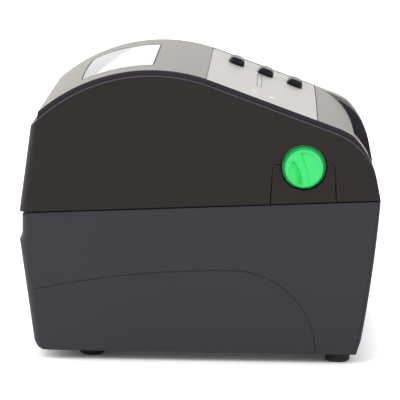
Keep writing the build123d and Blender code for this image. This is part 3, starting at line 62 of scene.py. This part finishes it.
CAMERA_PLACE = Vector((0.05414, -2.10579, 0.44245))
LENS = 254.7
SENSOR_WIDTH = 36.0
PICTURE_MIDDLE = 200.0
FOCAL_PIXELS = 2830.0
Y_VANISHING_POINT = (282.44, -258.52)  # where lines along the object's width meet
X_TILT = 0.0156  # fall of the lines along the object's depth in the picture


def make_camera():
    vanish = Vector((*(place - PICTURE_MIDDLE for place in Y_VANISHING_POINT), FOCAL_PIXELS))
    depth = vanish.normalized()
    ahead_part = -(depth.x + depth.y * X_TILT) / depth.z
    side = Vector((1.0, X_TILT, ahead_part)).normalized()
    up = side.cross(depth)
    right = Vector((side.x, depth.x, up.x))
    down = Vector((side.y, depth.y, up.y))
    ahead = Vector((side.z, depth.z, up.z))
    data = bpy.data.cameras.new("camera")
    data.lens = LENS
    data.sensor_width = SENSOR_WIDTH
    data.clip_start = 0.05
    data.clip_end = 20.0
    camera = add_object("camera", data)
    turn = Matrix((right, -down, -ahead)).transposed().to_4x4()
    camera.matrix_world = Matrix.Translation(CAMERA_PLACE) @ turn
    bpy.context.scene.camera = camera


make_camera()


# Material helpers

def new_material(name):
    material = bpy.data.materials.new(name)
    material.use_nodes = True
    tree = material.node_tree
    shader = tree.nodes["Principled BSDF"]
    return material, tree, shader


def noise(tree, scale, detail):
    coords = tree.nodes.new("ShaderNodeTexCoord")
    node = tree.nodes.new("ShaderNodeTexNoise")
    node.inputs["Scale"].default_value = scale
    node.inputs["Detail"].default_value = detail
    tree.links.new(coords.outputs["Object"], node.inputs["Vector"])
    return node


def spread(tree, source, low, high):
    """Map a 0 to 1 value onto a range."""
    node = tree.nodes.new("ShaderNodeMapRange")
    node.inputs["To Min"].default_value = low
    node.inputs["To Max"].default_value = high
    tree.links.new(source, node.inputs["Value"])
    return node.outputs["Result"]


def tint(tree, source, color_a, color_b):
    """A colour between two, by a value of 0 to 1."""
    node = tree.nodes.new("ShaderNodeMix")
    node.data_type = "RGBA"
    node.inputs["A"].default_value = (*color_a, 1.0)
    node.inputs["B"].default_value = (*color_b, 1.0)
    tree.links.new(source, node.inputs["Factor"])
    return node.outputs["Result"]


def bump(tree, shader, source, strength, distance):
    node = tree.nodes.new("ShaderNodeBump")
    node.inputs["Strength"].default_value = strength
    node.inputs["Distance"].default_value = distance
    tree.links.new(source, node.inputs["Height"])
    tree.links.new(node.outputs["Normal"], shader.inputs["Normal"])


def linear(red, green, blue):
    """Colour as written in a picture, 0 to 255, in the renderer's own scale."""
    return tuple(((value / 255 + 0.055) / 1.055) ** 2.4 for value in (red, green, blue))


PLASTIC_TONE_SCALE = 9.0
PLASTIC_ROUGH_SPREAD = 0.06
METAL_TONE_SCALE = 30.0
METAL_ROUGH_SPREAD = 0.08
METAL_DARKENING = 0.85
METAL_BUMP = 0.1
METAL_BUMP_DEPTH = 0.00002


def plastic(name, color, other, rough=0.5, grain=2600.0, strength=0.25, distance=0.00004, specular=0.5):
    """Moulded plastic with a fine spark-eroded grain and slow tone changes."""
    material, tree, shader = new_material(name)
    slow = noise(tree, PLASTIC_TONE_SCALE, 4.0)
    fine = noise(tree, grain, 2.0)
    tree.links.new(tint(tree, slow.outputs["Fac"], color, other), shader.inputs["Base Color"])
    gloss = spread(tree, fine.outputs["Fac"], rough - PLASTIC_ROUGH_SPREAD, rough + PLASTIC_ROUGH_SPREAD)
    tree.links.new(gloss, shader.inputs["Roughness"])
    shader.inputs["Specular IOR Level"].default_value = specular
    bump(tree, shader, fine.outputs["Fac"], strength, distance)
    return material


def metal(name, color, rough=0.3, grain=900.0):
    """Bare metal with a brushed variation of its gloss."""
    material, tree, shader = new_material(name)
    fine = noise(tree, grain, 2.0)
    slow = noise(tree, METAL_TONE_SCALE, 3.0)
    darker = tuple(METAL_DARKENING * value for value in color)
    tree.links.new(tint(tree, slow.outputs["Fac"], color, darker), shader.inputs["Base Color"])
    gloss = spread(tree, fine.outputs["Fac"], rough - METAL_ROUGH_SPREAD, rough + METAL_ROUGH_SPREAD)
    tree.links.new(gloss, shader.inputs["Roughness"])
    shader.inputs["Metallic"].default_value = 1.0
    bump(tree, shader, fine.outputs["Fac"], METAL_BUMP, METAL_BUMP_DEPTH)
    return material


def mixed(tree, factor, color, first):
    """Lay a colour over the colour socket first, by a factor of 0 to 1."""
    node = tree.nodes.new("ShaderNodeMix")
    node.data_type = "RGBA"
    node.inputs["B"].default_value = (*color, 1.0)
    tree.links.new(factor, node.inputs["Factor"])
    tree.links.new(first, node.inputs["A"])
    return node.outputs["Result"]


def step(tree, source, low, high):
    """0 below low and 1 above high, smoothly between them."""
    node = tree.nodes.new("ShaderNodeMapRange")
    node.interpolation_type = "SMOOTHSTEP"
    node.inputs["From Min"].default_value = low
    node.inputs["From Max"].default_value = high
    tree.links.new(source, node.inputs["Value"])
    return node.outputs["Result"]


def axes(tree, source):
    """The X, Y and Z parts of a vector socket."""
    node = tree.nodes.new("ShaderNodeSeparateXYZ")
    tree.links.new(source, node.inputs[0])
    return node.outputs


def math_node(tree, operation, *values):
    """Result of a sum on sockets and plain numbers."""
    node = tree.nodes.new("ShaderNodeMath")
    node.operation = operation
    for slot, value in zip(node.inputs, values):
        if isinstance(value, float):
            slot.default_value = value
        else:
            tree.links.new(value, slot)
    return node.outputs[0]


RIM_EDGE_INNER = 0.0001
RIM_EDGE_OUTER = 0.0004
LEDGE_TURN_LOW = 0.25  # upward part of the normal at which a face starts to count as a ledge
LEDGE_TURN_HIGH = 0.6


def paint_ledge_light_and_rim_reflection(material, ledge, rim):
    """Painted light on one black plastic: upward faces made paler as painted light from above, and a bluish
    painted sky reflection on the rim flanks and the faces between the rims.
    """
    tree = material.node_tree
    shader = tree.nodes["Principled BSDF"]
    first = shader.inputs["Base Color"].links[0].from_socket
    coords = tree.nodes.new("ShaderNodeTexCoord")
    across = math_node(tree, "ABSOLUTE", axes(tree, coords.outputs["Object"])["Y"])
    # faces between the outer faces of the rims, which take the bluish painted sky reflection
    rim_reflection_mask = step(tree, across, RIM_HALF_WIDTH + RIM_EDGE_OUTER, RIM_HALF_WIDTH + RIM_EDGE_INNER)
    up = axes(tree, coords.outputs["Normal"])["Z"]
    color = mixed(tree, rim_reflection_mask, rim, first)
    # upward faces take the paler painted light from above
    color = mixed(tree, step(tree, up, LEDGE_TURN_LOW, LEDGE_TURN_HIGH), ledge, color)
    tree.links.new(color, shader.inputs["Base Color"])


def dress(material, *names):
    for name in names:
        for slot in nodes[name].material_slots:
            slot.material = material


lid_black = plastic(
    "lid_black", linear(47, 42, 41), linear(42, 38, 37), rough=0.56, strength=0.35, specular=0.15,
)
# paler painted light from above on upward ledges, and bluish painted sky reflection on the rims
paint_ledge_light_and_rim_reflection(lid_black, linear(92, 89, 94), linear(52, 48, 56))
base_black = plastic(
    "base_black", linear(56, 55, 60), linear(61, 60, 65), rough=0.55, strength=0.35, specular=0.18,
)
silver = plastic(
    "silver_cover", linear(131, 127, 119), linear(124, 120, 112), rough=0.46, grain=1400.0, strength=0.06,
    distance=0.00002, specular=0.4,
)
silver.node_tree.nodes["Principled BSDF"].inputs["Metallic"].default_value = 0.35
pale_plate = plastic(
    "pale_plate", linear(199, 196, 189), linear(193, 190, 182), rough=0.42, grain=1800.0, strength=0.08,
    distance=0.00002,
)
button_black = plastic(
    "button_black", linear(26, 26, 34), linear(22, 22, 29), rough=0.32, strength=0.05, specular=0.12,
)
green = plastic("knob_green", linear(66, 244, 134), linear(58, 236, 122), rough=0.35, strength=0.06)
rubber = plastic("foot_rubber", linear(24, 24, 24), linear(30, 30, 30), rough=0.8, strength=0.4)
platen_rubber = plastic("platen_rubber", linear(34, 34, 38), linear(30, 30, 33), rough=0.6, strength=0.1)
tray = plastic("tray_black", linear(48, 48, 52), linear(54, 54, 58), rough=0.55)
guide_blue = plastic("guide_blue", linear(72, 104, 140), linear(66, 98, 134), rough=0.45, strength=0.1)
gear_white = plastic("gear_white", linear(216, 212, 200), linear(206, 202, 190), rough=0.45, strength=0.1)
paper = plastic(
    "label_paper", linear(236, 236, 232), linear(228, 228, 224), rough=0.75, grain=900.0, strength=0.15,
)
film = plastic("ribbon_film", linear(26, 26, 30), linear(18, 18, 22), rough=0.18, strength=0.03)
card = plastic("core_card", linear(176, 146, 108), linear(162, 132, 96), rough=0.8, grain=600.0, strength=0.3)
board = plastic("board_green", linear(34, 104, 62), linear(28, 92, 54), rough=0.35, strength=0.08)
chips = plastic("chip_black", linear(32, 32, 34), linear(40, 40, 42), rough=0.5)
socket_black = plastic("socket_black", linear(26, 26, 28), linear(32, 32, 34), rough=0.5)
zinc = metal("zinc_sheet", (0.60, 0.61, 0.63), rough=0.38)
steel = metal("ground_steel", (0.66, 0.66, 0.67), rough=0.22)
cast = metal("cast_aluminium", (0.62, 0.63, 0.64), rough=0.42)
motor_can = metal("motor_can", (0.34, 0.35, 0.37), rough=0.35)

dress(lid_black, "lid_shell", "side_insert")
dress(base_black, "base_shell", "front_bezel")
dress(silver, "silver_cover")
dress(pale_plate, "control_plate")
dress(button_black, "pause_button", "mode_button", "feed_button")
dress(green, "ribbon_knob")
dress(rubber, "rubber_feet", "window_seal")
dress(platen_rubber, "platen_roller")
dress(tray, "media_tray")
dress(guide_blue, "near_roll_guide", "far_roll_guide")
dress(
    gear_white, "take_up_gear", "ribbon_pinion", "platen_gear", "idler_gear", "guide_pinion",
    "platen_bushes",
)
dress(paper, "label_roll")
dress(film, "ribbon_roll")
dress(card, "take_up_core")
dress(board, "main_board", "control_board")
dress(chips, "board_parts")
dress(socket_black, "power_inlet", "power_rocker_housing", "power_rocker", "sensor_carriage")
dress(
    zinc, "base_hinge_leaves", "lid_hinge_leaves", "near_side_frame", "far_side_frame", "near_ribbon_plate",
    "far_ribbon_plate", "pressure_bar", "tear_bar", "port_panel", "usb_port", "network_port", "serial_port",
)
dress(
    steel, "hinge_pins", "frame_screws", "idler_stud", "sensor_rail", "head_shaft", "head_springs",
    "take_up_spindle", "supply_spindle", "platen_shaft", "motor_pinion",
)
dress(cast, "print_head")
dress(motor_can, "drive_motor", "ribbon_motor")


CLEAR_TONE_SCALE = 12.0
CLEAR_DARKENING = 0.96


def clear_plastic(name, color, rough, transmission):
    """Clear plastic whose tint varies a little over its surface."""
    material, tree, shader = new_material(name)
    slow = noise(tree, CLEAR_TONE_SCALE, 2.0)
    darker = tuple(CLEAR_DARKENING * value for value in color)
    tree.links.new(tint(tree, slow.outputs["Fac"], color, darker), shader.inputs["Base Color"])
    shader.inputs["Roughness"].default_value = rough
    shader.inputs["Transmission Weight"].default_value = transmission
    shader.inputs["IOR"].default_value = 1.49
    return material


dress(clear_plastic("window_clear", (0.86, 0.87, 0.86), 0.06, 0.85), "window_pane")
dress(clear_plastic("light_clear", (0.72, 0.74, 0.74), 0.35, 0.4), "light_bar")


# The window's seal, with a lip that overlaps the pane and the cover. Its black bead also stands in for
# painted shade in the gap round the window.

SEAL_LIP = 0.00034
WELD_DISTANCE = 0.000002


def ride_on_lid(name, mesh, material):
    """Make a mesh a piece of one material that moves with the lid."""
    mesh.materials.append(material)
    obj = add_object(name, mesh)
    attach(obj, "lid")
    return obj


def seal_bead(name, source, lip, material):
    """The seal swollen by the lip on every side, so that it stands a little proud of its gap and its black
    bead shows as the gap's painted shade.
    """
    form = bmesh.new()
    form.from_mesh(nodes[source].data)
    bmesh.ops.remove_doubles(form, verts=form.verts, dist=WELD_DISTANCE)
    bmesh.ops.recalc_face_normals(form, faces=form.faces)
    form.normal_update()
    places = [vert.co + vert.normal * lip for vert in form.verts]
    for vert, place in zip(form.verts, places):
        vert.co = place
    mesh = bpy.data.meshes.new(name)
    form.to_mesh(mesh)
    form.free()
    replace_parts(ride_on_lid(name, mesh, material), source)


# black bead, partly the real seal and partly painted shade of the gap round the window
seal_bead("window_seal_bead_and_gap_shade", "window_seal", SEAL_LIP, rubber)


# Print head springs, which on the real printer shorten towards the pressure bar as the head gives way; here
# one fixed piece that moves with the lid


def head_coils(name, source, material):
    """The two coils as one piece of one material that moves with the lid, in place of the part."""
    mesh = nodes[source].data.copy()
    mesh.name = name
    mesh.materials.clear()
    obj = ride_on_lid(name, mesh, material)
    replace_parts(obj, source)
    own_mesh(obj)


head_coils("head_coils", "head_springs", steel)


# Two indicator lights on the control plate, low domes that lie on its crowned surface

SLOPE_START = Vector((0.0071, 0.0, 0.1999))
SLOPE_ANGLE = 0.34558
PLATE_TOP = 0.0032
CROWN = 0.0008
INDICATOR_RADIUS = 0.0024
INDICATOR_HEIGHT = 0.0008
INDICATOR_SINK = 0.0002
INDICATOR_SIDES = 32
INDICATOR_RINGS = 5


def indicator(name, along, across, material):
    """Dome whose foot is sunk a little into the plate, at a distance along the slope and at this Y."""
    turn = Matrix.Rotation(SLOPE_ANGLE, 4, "Y")
    rise = PLATE_TOP + CROWN * (1 - (across / RIM_HALF_WIDTH) ** 2)
    center = SLOPE_START + turn @ Vector((along, across, rise))
    verts = []
    for ring in range(INDICATOR_RINGS):
        arc = Matrix.Rotation(-pi / 2 * ring / INDICATOR_RINGS, 3, "Y") @ Vector((1.0, 0.0, 0.0))
        height = Vector((0.0, 0.0, arc.z * INDICATOR_HEIGHT - INDICATOR_SINK))
        for side in range(INDICATOR_SIDES):
            spoke = Matrix.Rotation(2 * pi * side / INDICATOR_SIDES, 3, "Z") @ Vector((arc.x, 0.0, 0.0))
            verts.append(center + turn @ (spoke * INDICATOR_RADIUS + height))
    verts.append(center + turn @ Vector((0.0, 0.0, INDICATOR_HEIGHT - INDICATOR_SINK)))
    faces = []
    for ring in range(INDICATOR_RINGS - 1):
        for side in range(INDICATOR_SIDES):
            after = (side + 1) % INDICATOR_SIDES
            low = ring * INDICATOR_SIDES
            high = low + INDICATOR_SIDES
            faces.append((low + side, low + after, high + after, high + side))
    last = (INDICATOR_RINGS - 1) * INDICATOR_SIDES
    for side in range(INDICATOR_SIDES):
        faces.append((last + side, last + (side + 1) % INDICATOR_SIDES, len(verts) - 1))
    mesh = bpy.data.meshes.new(name)
    mesh.from_pydata(verts, [], faces)
    mesh.polygons.foreach_set("use_smooth", [True] * len(mesh.polygons))
    ride_on_lid(name, mesh, material)


lamp_white = plastic("lamp_white", linear(254, 254, 253), linear(250, 250, 248), rough=0.3, strength=0.03)
indicator("power_indicator", 0.0312, -0.073, lamp_white)
indicator("label_indicator", 0.0453, -0.0745, lamp_white)


# Light, floor and backdrop

WORLD_STRENGTH = 0.45
FLOOR_REACH = 6.0
FLOOR_GLOW = 0.74
CONTACT_REACH = 0.026  # how near the body has to be for the floor to darken


def area_light(name, place, target, size, power):
    data = bpy.data.lights.new(name, "AREA")
    data.shape = "RECTANGLE"
    data.size = size[0]
    data.size_y = size[1]
    data.energy = power
    lamp = add_object(name, data)
    lamp.location = place
    lamp.rotation_euler = (Vector(target) - Vector(place)).to_track_quat("-Z", "Y").to_euler()


area_light("key_light", (-0.9, -1.5, 1.5), (0, 0, 0.1), (1.2, 1.2), 14)
area_light("fill_light", (1.5, -1.1, 0.9), (0, 0, 0.1), (1.2, 1.0), 9)
area_light("back_light", (-0.2, 1.9, 1.0), (0, 0, 0.15), (2.6, 1.4), 8)
area_light("rear_light", (-1.7, 0.5, 0.7), (0, 0, 0.1), (1.0, 1.0), 22)


def seen_rays(tree):
    """1 where a surface is looked at, straight or in a reflection or through glass, and else 0."""
    rays = tree.nodes.new("ShaderNodeLightPath")
    value = rays.outputs["Is Camera Ray"]
    for name in ("Is Glossy Ray", "Is Transmission Ray"):
        value = math_node(tree, "MAXIMUM", value, rays.outputs[name])
    return value


def make_world():
    world = bpy.data.worlds.new("world")
    bpy.context.scene.world = world
    world.use_nodes = True
    tree = world.node_tree
    light = tree.nodes["Background"]
    light.inputs["Color"].default_value = (1, 1, 1, 1)
    light.inputs["Strength"].default_value = WORLD_STRENGTH
    white = tree.nodes.new("ShaderNodeBackground")
    white.inputs["Color"].default_value = (1, 1, 1, 1)
    white.inputs["Strength"].default_value = 1.0
    mix = tree.nodes.new("ShaderNodeMixShader")
    tree.links.new(seen_rays(tree), mix.inputs["Fac"])
    tree.links.new(light.outputs[0], mix.inputs[1])
    tree.links.new(white.outputs[0], mix.inputs[2])
    tree.links.new(mix.outputs[0], tree.nodes["World Output"].inputs["Surface"])


make_world()


def make_floor():
    """White floor whose glow, as seen, fades out close to the body, so that the body's shadow stays."""
    mesh = bpy.data.meshes.new("floor")
    corners = [(-1, -1), (1, -1), (1, 1), (-1, 1)]
    mesh.from_pydata([(x * FLOOR_REACH, y * FLOOR_REACH, 0) for x, y in corners], [], [(0, 1, 2, 3)])
    floor = add_object("floor", mesh)
    material, tree, shader = new_material("floor_white")
    shader.inputs["Base Color"].default_value = (0.9, 0.9, 0.9, 1)
    shader.inputs["Roughness"].default_value = 0.7
    shader.inputs["Specular IOR Level"].default_value = 0.0
    shader.inputs["Emission Color"].default_value = (1, 1, 1, 1)
    nearby = tree.nodes.new("ShaderNodeAmbientOcclusion")
    nearby.inputs["Distance"].default_value = CONTACT_REACH
    open_glow = math_node(tree, "MULTIPLY", nearby.outputs["AO"], FLOOR_GLOW)
    glow = math_node(tree, "MULTIPLY", seen_rays(tree), open_glow)
    tree.links.new(glow, shader.inputs["Emission Strength"])
    mesh.materials.append(material)


make_floor()

bpy.context.scene.view_settings.view_transform = "Standard"
